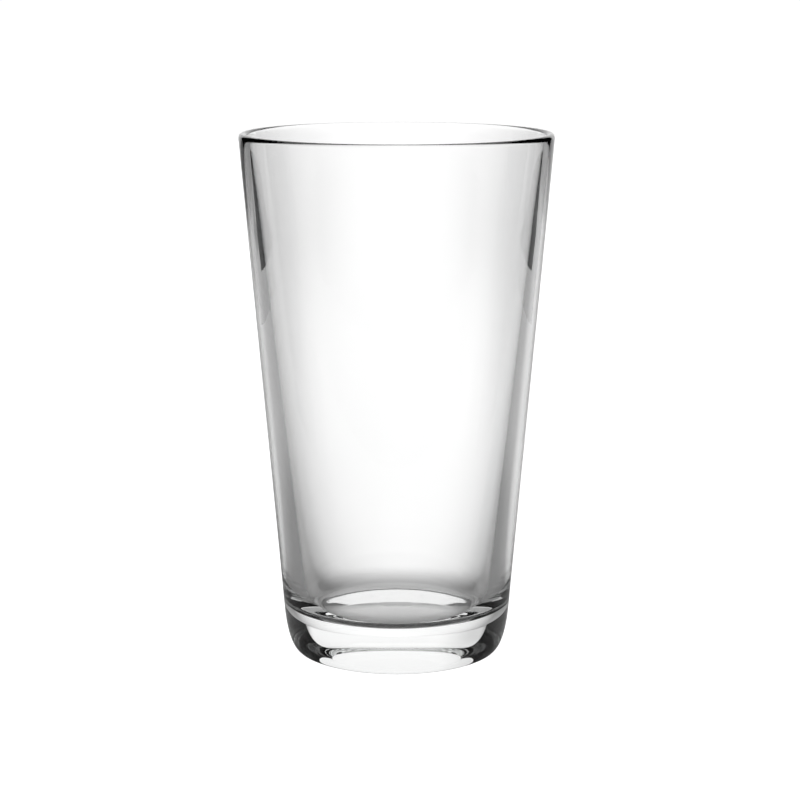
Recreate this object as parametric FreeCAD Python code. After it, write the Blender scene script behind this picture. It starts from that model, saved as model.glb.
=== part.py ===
import FreeCAD, Part

# A mixing glass for a bar: the tapered, tempered kind that a shaker tin closes over.
#
# It is one piece of clear pressed glass. The outer wall is straight and opens evenly towards the
# lip, the wall thickens downwards into a heavy base, the heel is rounded, and a domed hollow
# under the base leaves a narrow ring to stand on. Nothing comes apart and nothing moves, so the
# model is one solid: a half section of lines and curves turned about the Z axis.
#
# Millimetres, +Z up. The origin is the centre of the standing ring, on the plane it stands on.

import math
import os

# Outside
HEIGHT = 148.0
RIM_RADIUS = 44.0  # at the widest point of the lip
FOOT_RADIUS = 31.2  # where the outer wall would meet the table if the heel weren't rounded
HEEL_REACH = 3.6  # how far in from that corner the heel's curve starts
HEEL_RISE = 12.4  # how far up the wall the heel's curve ends
HEEL_FULLNESS = 0.87  # how squarely the heel's curve fills its corner

# Lip and inside
LIP_THICKNESS = 2.4
LIP_BLEND = 13.0  # the thin lip blends into the wall over twice this height
WALL_AT_RIM = 3.0  # wall thickness carried straight up to the rim's level
WALL_AT_FLOOR = 6.4  # wall thickness carried straight down to the floor's level
CORNER_RISE = 9.0  # how far above the floor the inside corner's curve ends
CORNER_FULLNESS = 0.95  # how squarely that curve fills its corner
FLOOR_THICKNESS = 12.8  # height of the floor's edge above the table
FLOOR_RADIUS = 22.0  # the floor's plain disc, inside the rounded corner

# Marks of the press on the floor, and the underside
FLOOR_DISH = 0.3  # how far the floor falls from its edge to its middle
PRESS_MARK_RADIUS = 5.8
PRESS_MARK_DEPTH = 0.03
PRESS_MARK_SLOPE = 0.6  # width of the mark's sloping side
STANDING_RING_INNER = 26.6  # where the hollow under the base begins
PUNT_DEPTH = 2.8  # height of that hollow at the axis

QUARTER_ELLIPSE = math.cos(math.radians(45.0))  # the fullness of a plain rounded corner


def outer_radius(z):
    """Radius of the straight outer wall at height z."""
    return FOOT_RADIUS + (RIM_RADIUS - FOOT_RADIUS) * z / HEIGHT


def inner_radius(z):
    """Radius of the straight inner wall at height z."""
    up = (z - FLOOR_THICKNESS) / (HEIGHT - FLOOR_THICKNESS)
    wall = WALL_AT_FLOOR + (WALL_AT_RIM - WALL_AT_FLOOR) * up
    return outer_radius(z) - wall


def at(radius, z):
    return FreeCAD.Vector(radius, 0.0, z)


def line(a, b):
    return Part.LineSegment(a, b).toShape()


def corner_curve(a, corner, b, fullness=QUARTER_ELLIPSE):
    """A conic arc that leaves a towards the corner and reaches b from it."""
    curve = Part.BezierCurve()
    curve.setPoles([a, corner, b])
    curve.setWeight(2, fullness)
    return curve.toShape()


def shallow_arc(centre_z, edge_radius, edge_z):
    """An arc that is level on the axis and ends at the given radius and height."""
    half = edge_radius / 2.0
    quarter_sag = (edge_z - centre_z) / 4.0
    middle = at(half, centre_z + quarter_sag)
    return Part.Arc(at(0.0, centre_z), middle, at(edge_radius, edge_z)).toShape()


def tangent_point(start, centre, radius, outward):
    """Where the line from start touches the lip's circle, on its outer or its inner side."""
    reach = centre - start
    distance = reach.Length
    along = math.atan2(reach.z, reach.x)
    spread = math.acos(radius / distance)
    angle = along + math.pi + (spread if outward else -spread)
    return centre + at(radius * math.cos(angle), radius * math.sin(angle))


def underside():
    """The hollow under the base, then the flat ring that the glass stands on."""
    ring_inner = at(STANDING_RING_INNER, 0.0)
    ring_outer = at(FOOT_RADIUS - HEEL_REACH, 0.0)
    punt = shallow_arc(PUNT_DEPTH, STANDING_RING_INNER, 0.0)
    return [punt, line(ring_inner, ring_outer)]


def outside(lip_start):
    """The rounded heel and the straight wall up to the lip."""
    ring_outer = at(FOOT_RADIUS - HEEL_REACH, 0.0)
    heel_top = at(outer_radius(HEEL_RISE), HEEL_RISE)
    heel = corner_curve(ring_outer, at(FOOT_RADIUS, 0.0), heel_top, HEEL_FULLNESS)
    return [heel, line(heel_top, lip_start)]


def inside(lip_end):
    """From the lip down the inner wall and round the inside corner to the floor's edge."""
    blend_middle = HEIGHT - LIP_BLEND
    blend_end = HEIGHT - 2.0 * LIP_BLEND
    corner_top = FLOOR_THICKNESS + CORNER_RISE
    wall_top = at(inner_radius(blend_end), blend_end)
    wall_foot = at(inner_radius(corner_top), corner_top)
    corner = at(inner_radius(FLOOR_THICKNESS), FLOOR_THICKNESS)
    floor_edge = at(FLOOR_RADIUS, FLOOR_THICKNESS)
    return [
        corner_curve(lip_end, at(inner_radius(blend_middle), blend_middle), wall_top),
        line(wall_top, wall_foot),
        corner_curve(wall_foot, corner, floor_edge, CORNER_FULLNESS),
    ]


def floor():
    """The gently dished floor, with the round mark of the press in its middle."""
    floor_edge = at(FLOOR_RADIUS, FLOOR_THICKNESS)
    mark_edge = at(PRESS_MARK_RADIUS, FLOOR_THICKNESS - FLOOR_DISH)
    mark_floor_z = mark_edge.z - PRESS_MARK_DEPTH
    mark_foot = at(PRESS_MARK_RADIUS - PRESS_MARK_SLOPE, mark_floor_z)
    middle = at(0.0, mark_floor_z)
    return [line(floor_edge, mark_edge), line(mark_edge, mark_foot), line(mark_foot, middle)]


def half_section():
    """The closed outline of one half of the glass, from the axis under the base to the floor."""
    lip_radius = LIP_THICKNESS / 2.0
    lip_centre = at(RIM_RADIUS - lip_radius, HEIGHT - lip_radius)
    foot = at(FOOT_RADIUS, 0.0)
    blend = at(inner_radius(HEIGHT - LIP_BLEND), HEIGHT - LIP_BLEND)
    lip_start = tangent_point(foot, lip_centre, lip_radius, True)
    lip_end = tangent_point(blend, lip_centre, lip_radius, False)
    lip = Part.Arc(lip_start, lip_centre + at(0.0, lip_radius), lip_end).toShape()
    edges = underside() + outside(lip_start) + [lip] + inside(lip_end) + floor()
    bottom = edges[0].Vertexes[0].Point
    top = edges[-1].Vertexes[-1].Point
    return edges + [line(top, bottom)]


def mixing_glass():
    section = Part.Face(Part.Wire(half_section()))
    return section.revolve(FreeCAD.Vector(0, 0, 0), FreeCAD.Vector(0, 0, 1), 360.0)


os.makedirs("parts", exist_ok=True)
glass = mixing_glass()
glass.exportStep(os.path.join("parts", "mixing_glass.step"))
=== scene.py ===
import math

import bmesh
import bpy
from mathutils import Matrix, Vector


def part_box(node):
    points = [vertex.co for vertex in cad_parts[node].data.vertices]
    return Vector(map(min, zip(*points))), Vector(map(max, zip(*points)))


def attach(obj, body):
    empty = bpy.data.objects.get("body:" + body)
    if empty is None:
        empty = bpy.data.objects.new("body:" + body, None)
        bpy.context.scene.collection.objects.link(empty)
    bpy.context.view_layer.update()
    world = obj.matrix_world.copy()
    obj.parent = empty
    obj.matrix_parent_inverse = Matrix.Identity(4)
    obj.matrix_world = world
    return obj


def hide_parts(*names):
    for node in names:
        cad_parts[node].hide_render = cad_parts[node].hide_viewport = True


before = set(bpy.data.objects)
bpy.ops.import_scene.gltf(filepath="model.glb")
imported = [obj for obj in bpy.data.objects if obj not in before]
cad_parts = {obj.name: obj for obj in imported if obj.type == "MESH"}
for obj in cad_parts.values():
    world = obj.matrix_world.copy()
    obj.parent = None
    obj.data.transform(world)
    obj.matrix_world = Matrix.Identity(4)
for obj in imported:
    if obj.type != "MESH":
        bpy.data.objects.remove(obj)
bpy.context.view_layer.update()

# A clear pressed mixing glass on a white sweep, lit the way clear glass is usually lit: from a
# bright panel behind it and a soft box above it, with dark either side to draw its edges.
#
# Metres, +Z up; the camera stands at -Y and looks along +Y. Azimuths are in degrees from the line
# behind the glass, +Y, and grow towards +X. A pair of numbers in brackets is where a smooth change
# starts and where it ends, unless its comment says otherwise.

# The object's box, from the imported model
NODE_LOW, NODE_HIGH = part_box("mixing_glass")
HEIGHT = NODE_HIGH.z
RIM_RADIUS = (NODE_HIGH.x - NODE_LOW.x) / 2.0

# The glass: outside
FOOT_RADIUS = 0.0312  # where the outer wall would meet the table if the heel weren't rounded
HEEL_REACH = 0.0036
HEEL_RISE = 0.0124
HEEL_FULLNESS = 0.87  # how squarely the heel's curve fills its corner

# The glass: lip and inside
LIP_RADIUS = 0.0012
LIP_BLEND = 0.0130  # the thin lip blends into the wall over twice this height
WALL_AT_RIM = 0.0030
WALL_AT_FLOOR = 0.0064
CORNER_RISE = 0.0090
CORNER_FULLNESS = 0.95
FLOOR_THICKNESS = 0.0128
FLOOR_RADIUS = 0.0220  # the plain disc inside the rounded corner

# The glass: marks of the press, and the underside
FLOOR_DISH = 0.0003
PRESS_MARK_RADIUS = 0.0058
PRESS_MARK_DEPTH = 0.00003
PRESS_MARK_SLOPE = 0.0006
STANDING_RING_INNER = 0.0266
PUNT_DEPTH = 0.0028

# How finely the glass is turned
TURNS = 384
CURVE_STEPS = 28
WALL_STEP = 0.002
FLOOR_STEP = 0.0003  # short, so that the smooth shading stays true on the flat floor
CLOSEST_POINTS = 1e-7
ROUND = math.cos(math.radians(45.0))  # fullness that makes a corner's curve a quarter ellipse

# The glass itself
GLASS_IOR = 1.52
GLASS_TINT = (0.90, 0.955, 0.93)
GLASS_DENSITY = 1.6  # per metre of glass
HAZE_SCALE = 45.0
HAZE_RANGE = (0.35, 0.75)
LEAST_ROUGH = 0.004
MOST_ROUGH = 0.022
WAVE_SCALE = 55.0
WAVE_STRETCH = (1.0, 1.0, 0.45)  # the mould's waves are longer up the wall than round it
WAVE_HEIGHT = 0.000012

# The floor: its size and its own white
STAGE_RADIUS = 2.0
FLOOR_REACH = 2.05  # a little past the backdrop's foot
FLOOR_DROP = 0.0002  # keeps the floor just clear of the standing ring
FLOOR_TURNS = 96
FLOOR_WHITE = 0.54

# The floor: painted light that the glass shows, strongest along the line behind it
FLOOR_GLOW = 0.84
GLOW_AZIMUTH = 3.0
GLOW_HALF_WIDTH = 41.0  # degrees either side
# Painted shadow of the base: near the axis the glow keeps only BASE_SHADE_LEFT of its strength
BASE_SHADE = (0.027, 0.072)  # how far from the axis the base shades the floor
BASE_SHADE_LEFT = 0.20
# Painted shade: far out on the flanks the glow loses this share
FLANK_DIMMING = 0.3
FLANK_FAR = (0.22, 0.80)
FLANK_SIDE = (0.02, 0.14)

# The floor: painted light right under the base, and painted light at the front and the sides of the room
UNDER_GLOW = 0.40
UNDER_FRONT = (-0.016, 0.001)
UNDER_SIDE = (0.014, 0.028)
UNDER_REACH = (0.020, 0.036)
AROUND_GLOW = 0.13
FRONT_GLOW = 0.42
AROUND_REACH = (0.12, 0.24)
AROUND_FRONT = (-0.10, 0.02)

# The floor: painted light that the camera sees directly, white behind and beside the glass
SEEN_GLOW = 0.66
SEEN_BASE = 0.45
SEEN_SPREAD = 0.173  # how much wider the white band gets with distance behind the glass
SEEN_SIDE = (0.125, 0.28)
SEEN_FRONT = (-0.4, -0.13)

# The backdrop
BACKDROP_HALF_WIDTH = 46.0  # degrees either side
BACKDROP_HEIGHT = 1.75
BACKDROP_TURNS = 48
BACKDROP_GLOW = 1.03
BACKDROP_SIDE = (36.0, 46.0)
BACKDROP_UP = (0.5, BACKDROP_HEIGHT)
BACKDROP_TOP_SHARE = 0.95
LEFT_DIMMING = 0.3
LEFT_SIDE = (-1.1, -0.45)
LEFT_UP = (0.15, 0.75)
LEFT_UP_SHARE = 0.35

# The low pale walls either side, which only glow: painted light in place of the lamps' light on them
LOW_WALL_HEIGHT = 0.42
LOW_WALL_FROM = 76.0
LOW_WALL_TO = 104.0
LOW_WALL_TURNS = 24
LOW_WALL_FOOT_GLOW = 0.42
LOW_WALL_TOP_GLOW = 0.55

# The dark cards either side of the backdrop, and the grey strip on the floor to the left
CARD_DISTANCE = 0.48
CARD_HEIGHT = 0.50
CARD_FAR_EDGE = 72.0
CARD_NEAR_EDGES = ((-39.0, -20.0), (39.5, 20.0))  # left and right: azimuth at the foot, at the top
CARD_WHITE = 0.01
STRIP_NEAR_Y = 0.43
STRIP_FAR_Y = 1.30
STRIP_NEAR_X = -0.29  # the inner edge's near end
STRIP_FAR_X = -0.37  # the inner edge's far end
STRIP_OUTER_X = -0.95
STRIP_Z = 0.001
STRIP_WHITE = 0.45

# The soft box overhead
SOFT_BOX_HEIGHT = 1.05
SOFT_BOX_HALF_WIDTH = 0.70
SOFT_BOX_FRONT = -0.55
SOFT_BOX_BACK = 1.40
SOFT_BOX_RADIANCE = 0.95

# The camera
CAMERA_DISTANCE = 0.6443
CAMERA_HEIGHT = 0.1949
CAMERA_PITCH = 10.77  # degrees below the horizon
CAMERA_LENS = 103.95
CAMERA_SENSOR = 36.0
CAMERA_SHIFT = 0.00425
CAMERA_CLIP = (0.01, 20.0)  # nearest and furthest

# How often light may be bent, mirrored and scattered on its way
BENDS = 24
MIRRORINGS = 12
SCATTERINGS = 3


# ---------------------------------------------------------------- outline of the glass


def outer_radius(z):
    """Radius of the straight outer wall at height z."""
    return FOOT_RADIUS + (RIM_RADIUS - FOOT_RADIUS) * z / HEIGHT


def inner_radius(z):
    """Radius of the straight inner wall at height z."""
    up = (z - FLOOR_THICKNESS) / (HEIGHT - FLOOR_THICKNESS)
    return outer_radius(z) - (WALL_AT_FLOOR + (WALL_AT_RIM - WALL_AT_FLOOR) * up)


def line(a, b, step=WALL_STEP):
    """Points from a to b, no further apart than step."""
    count = max(1, math.ceil((b - a).length / step))
    return [a.lerp(b, i / count) for i in range(count + 1)]


def corner_curve(a, corner, b, fullness=ROUND):
    """Points on the conic arc that leaves a towards the corner and reaches b from it."""
    points = []
    for i in range(CURVE_STEPS + 1):
        t = i / CURVE_STEPS
        start = (1.0 - t) ** 2
        middle = 2.0 * fullness * t * (1.0 - t)
        end = t * t
        points.append((a * start + corner * middle + b * end) / (start + middle + end))
    return points


def arc(centre, radius, first, last):
    """Points on a circle from one angle to another."""
    points = []
    for i in range(CURVE_STEPS + 1):
        angle = first + (last - first) * i / CURVE_STEPS
        points.append(centre + Vector((math.cos(angle), math.sin(angle))) * radius)
    return points


def touch_angle(start, centre, radius, side):
    """The angle on the lip's circle where the line from start touches it."""
    reach = centre - start
    along = math.atan2(reach.y, reach.x)
    return along + math.pi + side * math.acos(radius / reach.length)


def underside():
    """The domed hollow under the base and the flat ring round it."""
    points = []
    for i in range(CURVE_STEPS + 1):
        share = i / CURVE_STEPS
        points.append(Vector((STANDING_RING_INNER * share, PUNT_DEPTH * (1.0 - share * share))))
    return points + line(points[-1], Vector((FOOT_RADIUS - HEEL_REACH, 0.0)))


def heel():
    """The rounded heel; the straight wall follows it to the lip."""
    ring_outer = Vector((FOOT_RADIUS - HEEL_REACH, 0.0))
    corner = Vector((FOOT_RADIUS, 0.0))
    heel_top = Vector((outer_radius(HEEL_RISE), HEEL_RISE))
    return corner_curve(ring_outer, corner, heel_top, HEEL_FULLNESS)


def lip():
    """The round lip, from the outer wall to the inner one."""
    centre = Vector((RIM_RADIUS - LIP_RADIUS, HEIGHT - LIP_RADIUS))
    foot = Vector((FOOT_RADIUS, 0.0))
    blend = Vector((inner_radius(HEIGHT - LIP_BLEND), HEIGHT - LIP_BLEND))
    first = touch_angle(foot, centre, LIP_RADIUS, 1.0) - 2.0 * math.pi
    last = touch_angle(blend, centre, LIP_RADIUS, -1.0)
    return arc(centre, LIP_RADIUS, first, last)


def inside(lip_end):
    """From the lip down the inner wall and round the inside corner to the floor's edge."""
    blend = Vector((inner_radius(HEIGHT - LIP_BLEND), HEIGHT - LIP_BLEND))
    wall_top_z = HEIGHT - 2.0 * LIP_BLEND
    wall_foot_z = FLOOR_THICKNESS + CORNER_RISE
    wall_top = Vector((inner_radius(wall_top_z), wall_top_z))
    wall_foot = Vector((inner_radius(wall_foot_z), wall_foot_z))
    corner = Vector((inner_radius(FLOOR_THICKNESS), FLOOR_THICKNESS))
    floor_edge = Vector((FLOOR_RADIUS, FLOOR_THICKNESS))
    points = corner_curve(lip_end, blend, wall_top)
    points += line(wall_top, wall_foot)
    return points + corner_curve(wall_foot, corner, floor_edge, CORNER_FULLNESS)


def floor_of_glass():
    """The nearly flat floor, with the round mark of the press in its middle."""
    floor_edge = Vector((FLOOR_RADIUS, FLOOR_THICKNESS))
    mark_edge = Vector((PRESS_MARK_RADIUS, FLOOR_THICKNESS - FLOOR_DISH))
    mark_foot = Vector((PRESS_MARK_RADIUS - PRESS_MARK_SLOPE, mark_edge.y - PRESS_MARK_DEPTH))
    middle = Vector((0.0, mark_foot.y))
    points = line(floor_edge, mark_edge, FLOOR_STEP)
    points += line(mark_edge, mark_foot, FLOOR_STEP)
    return points + line(mark_foot, middle, FLOOR_STEP)


def outline():
    """The glass's half section as (radius, height), from the axis underneath to the axis inside."""
    bend = heel()
    rim = lip()
    points = underside() + bend + line(bend[-1], rim[0]) + rim + inside(rim[-1]) + floor_of_glass()
    kept = [points[0]]
    for point in points[1:]:
        if (point - kept[-1]).length > CLOSEST_POINTS:
            kept.append(point)
    return kept


# ---------------------------------------------------------------- meshes


def new_object(name, mesh):
    made = bpy.data.objects.new(name, mesh)
    bpy.context.scene.collection.objects.link(made)
    return made


def smooth_object(name, bm):
    """A smooth-shaded object from a bmesh, which is used up."""
    for face in bm.faces:
        face.smooth = True
    bm.normal_update()
    mesh = bpy.data.meshes.new(name)
    bm.to_mesh(mesh)
    bm.free()
    return new_object(name, mesh)


def turned(name, points, turns):
    """A closed surface turned about Z from an outline that starts and ends on the axis."""
    bm = bmesh.new()
    bottom = bm.verts.new((0.0, 0.0, points[0].y))
    top = bm.verts.new((0.0, 0.0, points[-1].y))
    rings = []
    for point in points[1:-1]:
        ring = []
        for i in range(turns):
            angle = 2.0 * math.pi * i / turns
            ring.append(bm.verts.new((point.x * math.cos(angle), point.x * math.sin(angle), point.y)))
        rings.append(ring)
    for i in range(turns):
        j = (i + 1) % turns
        bm.faces.new((bottom, rings[0][j], rings[0][i]))
        bm.faces.new((top, rings[-1][i], rings[-1][j]))
        for low, high in zip(rings, rings[1:]):
            bm.faces.new((low[i], low[j], high[j], high[i]))
    return smooth_object(name, bm)


def swept(name, points, first, last, steps):
    """An open surface: an outline of (radius, height) turned from one azimuth to another."""
    bm = bmesh.new()
    rows = []
    for i in range(steps + 1):
        angle = math.radians(first + (last - first) * i / steps)
        rows.append([bm.verts.new((r * math.sin(angle), r * math.cos(angle), z)) for r, z in points])
    for row, after in zip(rows, rows[1:]):
        for k in range(len(points) - 1):
            bm.faces.new((row[k], row[k + 1], after[k + 1], after[k]))
    return smooth_object(name, bm)


def sheet(name, corners):
    """A flat four-sided sheet."""
    mesh = bpy.data.meshes.new(name)
    mesh.from_pydata(corners, [], [(0, 1, 2, 3)])
    return new_object(name, mesh)


def upright_card(name, edge_low, edge_high):
    """A flat card on its end. Its near edge stands at one azimuth at the foot and another at the top."""
    far_edge = math.copysign(CARD_FAR_EDGE, edge_low)
    places = [(edge_low, 0.0), (far_edge, 0.0), (far_edge, CARD_HEIGHT), (edge_high, CARD_HEIGHT)]
    corners = []
    for azimuth, z in places:
        turn = math.radians(azimuth)
        corners.append((CARD_DISTANCE * math.sin(turn), CARD_DISTANCE * math.cos(turn), z))
    return sheet(name, corners)


# ---------------------------------------------------------------- materials


class Nodes:
    """A new material's node tree, with short ways to add and join nodes."""

    def __init__(self, name):
        self.material = bpy.data.materials.new(name)
        self.material.use_nodes = True
        self.tree = self.material.node_tree
        self.tree.nodes.clear()
        self.output = self.add("ShaderNodeOutputMaterial")

    def add(self, kind, **settings):
        node = self.tree.nodes.new(kind)
        for key, value in settings.items():
            setattr(node, key, value)
        return node

    def join(self, source, target):
        self.tree.links.new(source, target)

    def maths(self, operation, *inputs):
        """A Math node fed with sockets or plain numbers; gives its result."""
        node = self.add("ShaderNodeMath", operation=operation)
        for socket, value in zip(node.inputs, inputs):
            if isinstance(value, (int, float)):
                socket.default_value = value
            else:
                self.join(value, socket)
        return node.outputs[0]

    def product(self, first, *others):
        for other in others:
            first = self.maths("MULTIPLY", first, other)
        return first

    def smooth(self, value, span, at_start, at_end):
        """at_start up to where span starts, at_end past where it ends, and smooth between."""
        node = self.add("ShaderNodeMapRange", interpolation_type="SMOOTHSTEP")
        self.join(value, node.inputs["Value"])
        node.inputs["From Min"].default_value = span[0]
        node.inputs["From Max"].default_value = span[1]
        node.inputs["To Min"].default_value = at_start
        node.inputs["To Max"].default_value = at_end
        return node.outputs["Result"]

    def place(self):
        """The x, y and z of the point being shaded, in the object's own frame."""
        where = self.add("ShaderNodeTexCoord").outputs["Object"]
        split = self.add("ShaderNodeSeparateXYZ")
        self.join(where, split.inputs[0])
        return split.outputs

    def noise(self, scale, detail, stretch=(1.0, 1.0, 1.0)):
        where = self.add("ShaderNodeTexCoord").outputs["Object"]
        mapping = self.add("ShaderNodeMapping")
        mapping.inputs["Scale"].default_value = stretch
        self.join(where, mapping.inputs["Vector"])
        texture = self.add("ShaderNodeTexNoise")
        texture.inputs["Scale"].default_value = scale
        texture.inputs["Detail"].default_value = detail
        self.join(mapping.outputs[0], texture.inputs["Vector"])
        return texture.outputs["Fac"]


def clear_glass():
    """Pressed soda-lime glass: polished, with the faint unevenness that the mould leaves."""
    nodes = Nodes("clear_glass")
    shader = nodes.add("ShaderNodeBsdfPrincipled")
    shader.inputs["Base Color"].default_value = (1.0, 1.0, 1.0, 1.0)
    shader.inputs["Transmission Weight"].default_value = 1.0
    shader.inputs["IOR"].default_value = GLASS_IOR
    haze = nodes.noise(HAZE_SCALE, detail=3.0)
    roughness = nodes.smooth(haze, HAZE_RANGE, LEAST_ROUGH, MOST_ROUGH)
    nodes.join(roughness, shader.inputs["Roughness"])
    waves = nodes.noise(WAVE_SCALE, detail=1.0, stretch=WAVE_STRETCH)
    bump = nodes.add("ShaderNodeBump")
    bump.inputs["Strength"].default_value = 1.0
    bump.inputs["Distance"].default_value = WAVE_HEIGHT
    nodes.join(waves, bump.inputs["Height"])
    nodes.join(bump.outputs["Normal"], shader.inputs["Normal"])
    nodes.join(shader.outputs[0], nodes.output.inputs["Surface"])
    tint = nodes.add("ShaderNodeVolumeAbsorption")
    tint.inputs["Color"].default_value = (*GLASS_TINT, 1.0)
    tint.inputs["Density"].default_value = GLASS_DENSITY
    nodes.join(tint.outputs[0], nodes.output.inputs["Volume"])
    return nodes.material


def painted_light_behind(nodes, x, y, reach, aside):
    """Painted light on the floor along the line behind the glass, with the base's shadow painted in and
    painted shade on the flanks.
    """
    azimuth = nodes.maths("DEGREES", nodes.maths("ARCTAN2", x, y))
    share = nodes.maths("DIVIDE", nodes.maths("SUBTRACT", azimuth, GLOW_AZIMUTH), GLOW_HALF_WIDTH)
    rounded = nodes.maths("SUBTRACT", 1.0, nodes.maths("MULTIPLY", share, share))
    wedge = nodes.maths("MAXIMUM", rounded, 0.0)
    # the base's painted shadow
    near = nodes.smooth(reach, BASE_SHADE, BASE_SHADE_LEFT, 1.0)
    # painted shade on the flanks
    far = nodes.smooth(reach, FLANK_FAR, 0.0, FLANK_DIMMING)
    flank = nodes.smooth(aside, FLANK_SIDE, 0.0, 1.0)
    kept = nodes.maths("SUBTRACT", 1.0, nodes.product(far, flank))
    return nodes.product(wedge, near, kept, FLOOR_GLOW)


def painted_light_under(nodes, y, reach, aside):
    """Painted light under the base, as if light got in under it from behind."""
    front = nodes.smooth(y, UNDER_FRONT, 0.0, UNDER_GLOW)
    side = nodes.smooth(aside, UNDER_SIDE, 1.0, 0.0)
    return nodes.product(front, side, nodes.smooth(reach, UNDER_REACH, 1.0, 0.0))


def painted_light_around(nodes, y, reach):
    """Painted light on the floor away from the glass, stronger in the front of the room."""
    away = nodes.smooth(reach, AROUND_REACH, 0.0, 1.0)
    return nodes.product(away, nodes.smooth(y, AROUND_FRONT, FRONT_GLOW, AROUND_GLOW))


def painted_light_seen(nodes, y, aside):
    """Painted light that the camera sees directly: a band along Y that is bright enough to be white."""
    edge = nodes.maths("SUBTRACT", aside, nodes.maths("MULTIPLY", y, SEEN_SPREAD))
    band = nodes.product(nodes.smooth(edge, SEEN_SIDE, 1.0, 0.0), nodes.smooth(y, SEEN_FRONT, 0.0, 1.0))
    return nodes.maths("ADD", nodes.product(band, SEEN_GLOW), SEEN_BASE)


def floor_sheet():
    """A white sheet that glows from beneath with painted light and shade. It is kept white where the
    camera sees it directly, and darker where the glass shows it, so that the glass stands out in grey."""
    nodes = Nodes("floor_sheet")
    x, y, z = nodes.place()
    aside = nodes.maths("ABSOLUTE", x)
    squares = nodes.maths("ADD", nodes.maths("MULTIPLY", x, x), nodes.maths("MULTIPLY", y, y))
    reach = nodes.maths("SQRT", squares)
    nearby = nodes.maths("MAXIMUM", painted_light_under(nodes, y, reach, aside), painted_light_around(nodes, y, reach))
    shown = nodes.maths("MAXIMUM", painted_light_behind(nodes, x, y, reach, aside), nearby)
    choice = nodes.add("ShaderNodeMix", data_type="FLOAT")
    factor, when_shown, when_seen = choice.inputs[0], choice.inputs[2], choice.inputs[3]
    nodes.join(nodes.add("ShaderNodeLightPath").outputs["Is Camera Ray"], factor)
    nodes.join(shown, when_shown)
    nodes.join(painted_light_seen(nodes, y, aside), when_seen)
    paper = nodes.add("ShaderNodeBsdfDiffuse")
    paper.inputs["Color"].default_value = (FLOOR_WHITE, FLOOR_WHITE, FLOOR_WHITE, 1.0)
    # Painted light: the floor's emission, carrying the painted pools of light and shade
    glow = nodes.add("ShaderNodeEmission")
    nodes.join(choice.outputs[0], glow.inputs["Strength"])
    both = nodes.add("ShaderNodeAddShader")
    nodes.join(paper.outputs[0], both.inputs[0])
    nodes.join(glow.outputs[0], both.inputs[1])
    nodes.join(both.outputs[0], nodes.output.inputs["Surface"])
    return nodes.material


def lit_panel(name, strength):
    """A plain panel that only glows. Its strength is a number, or a function that makes it from nodes."""
    nodes = Nodes(name)
    glow = nodes.add("ShaderNodeEmission")
    if callable(strength):
        nodes.join(strength(nodes), glow.inputs["Strength"])
    else:
        glow.inputs["Strength"].default_value = strength
    nodes.join(glow.outputs[0], nodes.output.inputs["Surface"])
    return nodes.material


def card_stock(name, white):
    """Matt card, to draw the glass's edges."""
    nodes = Nodes(name)
    shader = nodes.add("ShaderNodeBsdfDiffuse")
    shader.inputs["Color"].default_value = (white, white, white, 1.0)
    nodes.join(shader.outputs[0], nodes.output.inputs["Surface"])
    return nodes.material


def backdrop_glow(nodes):
    """White in the middle, fading out at both sides and a little upwards, and dimmer low on the left."""
    x, y, z = nodes.place()
    azimuth = nodes.maths("DEGREES", nodes.maths("ARCTAN2", nodes.maths("ABSOLUTE", x), y))
    sides = nodes.smooth(azimuth, BACKDROP_SIDE, BACKDROP_GLOW, 0.0)
    upwards = nodes.smooth(z, BACKDROP_UP, 1.0, BACKDROP_TOP_SHARE)
    leftwards = nodes.smooth(x, LEFT_SIDE, LEFT_DIMMING, 0.0)
    low = nodes.smooth(z, LEFT_UP, 1.0, LEFT_UP_SHARE)
    left = nodes.maths("SUBTRACT", 1.0, nodes.product(leftwards, low))
    return nodes.product(sides, upwards, left)


def low_wall_painted_light(nodes):
    """Painted light, a little brighter towards the top."""
    x, y, z = nodes.place()
    return nodes.smooth(z, (0.0, LOW_WALL_HEIGHT), LOW_WALL_FOOT_GLOW, LOW_WALL_TOP_GLOW)


# ---------------------------------------------------------------- the object


def build_glass():
    glass = turned("mixing_glass_clear", outline(), TURNS)
    glass.data.materials.append(clear_glass())
    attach(glass, "root")
    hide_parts("mixing_glass")


# ---------------------------------------------------------------- the set


def build_floor():
    disc = [(0.0, 0.0), (FLOOR_REACH, 0.0)]
    floor = swept("floor", disc, -180.0, 180.0, FLOOR_TURNS)
    floor.location.z = -FLOOR_DROP
    floor.data.materials.append(floor_sheet())


def build_backdrop():
    upright = [(STAGE_RADIUS, 0.0), (STAGE_RADIUS, BACKDROP_HEIGHT)]
    backdrop = swept("backdrop", upright, -BACKDROP_HALF_WIDTH, BACKDROP_HALF_WIDTH, BACKDROP_TURNS)
    backdrop.data.materials.append(lit_panel("backdrop_panel", backdrop_glow))


def build_low_walls():
    upright = [(STAGE_RADIUS, 0.0), (STAGE_RADIUS, LOW_WALL_HEIGHT)]
    panel = lit_panel("low_wall_panel", low_wall_painted_light)
    for side in (-1.0, 1.0):
        low_wall = swept("low_wall", upright, side * LOW_WALL_FROM, side * LOW_WALL_TO, LOW_WALL_TURNS)
        low_wall.data.materials.append(panel)


def show_in_glass_only(card):
    """A card that stands in for the dark studio: seen in and through the glass, and casting no shadow."""
    card.visible_camera = False
    card.visible_shadow = False
    card.visible_diffuse = False


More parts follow.
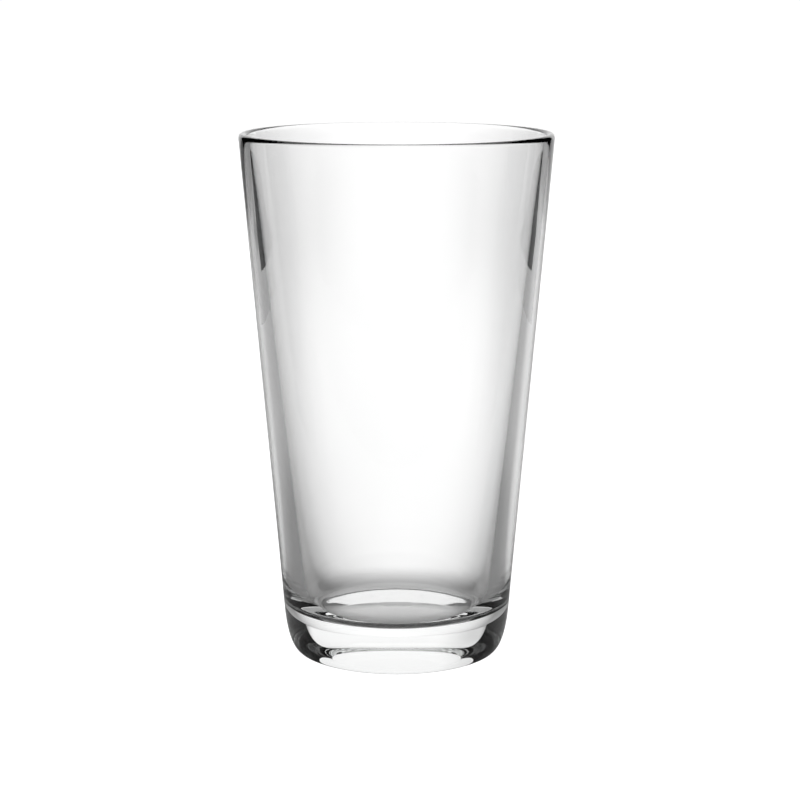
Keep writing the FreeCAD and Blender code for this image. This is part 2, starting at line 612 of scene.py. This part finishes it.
def build_cards():
    black = card_stock("black_card", CARD_WHITE)
    for edge_low, edge_high in CARD_NEAR_EDGES:
        card = upright_card("black_card", edge_low, edge_high)
        card.data.materials.append(black)
        show_in_glass_only(card)


def build_grey_strip():
    corners = [
        (STRIP_NEAR_X, STRIP_NEAR_Y, STRIP_Z),
        (STRIP_FAR_X, STRIP_FAR_Y, STRIP_Z),
        (STRIP_OUTER_X, STRIP_FAR_Y, STRIP_Z),
        (STRIP_OUTER_X, STRIP_NEAR_Y, STRIP_Z),
    ]
    strip = sheet("grey_strip", corners)
    strip.data.materials.append(card_stock("grey_card", STRIP_WHITE))
    show_in_glass_only(strip)


def build_soft_box():
    corners = [
        (-SOFT_BOX_HALF_WIDTH, SOFT_BOX_FRONT, SOFT_BOX_HEIGHT),
        (-SOFT_BOX_HALF_WIDTH, SOFT_BOX_BACK, SOFT_BOX_HEIGHT),
        (SOFT_BOX_HALF_WIDTH, SOFT_BOX_BACK, SOFT_BOX_HEIGHT),
        (SOFT_BOX_HALF_WIDTH, SOFT_BOX_FRONT, SOFT_BOX_HEIGHT),
    ]
    soft_box = sheet("soft_box", corners)
    soft_box.data.materials.append(lit_panel("soft_box_panel", SOFT_BOX_RADIANCE))


def build_camera():
    data = bpy.data.cameras.new("camera")
    data.sensor_width = CAMERA_SENSOR
    data.lens = CAMERA_LENS
    data.shift_x = CAMERA_SHIFT
    data.clip_start, data.clip_end = CAMERA_CLIP
    camera = new_object("camera", data)
    camera.location = (0.0, -CAMERA_DISTANCE, CAMERA_HEIGHT)
    camera.rotation_euler = (math.radians(90.0 - CAMERA_PITCH), 0.0, 0.0)
    bpy.context.scene.camera = camera


def set_up_render():
    """Plain colours, and enough bounces for light to cross every wall of the glass."""
    scene = bpy.context.scene
    scene.view_settings.view_transform = "Standard"
    scene.cycles.max_bounces = BENDS
    scene.cycles.transmission_bounces = BENDS
    scene.cycles.glossy_bounces = MIRRORINGS
    scene.cycles.diffuse_bounces = SCATTERINGS
    scene.cycles.use_denoising = True


build_glass()
build_floor()
build_backdrop()
build_low_walls()
build_cards()
build_grey_strip()
build_soft_box()
build_camera()
set_up_render()
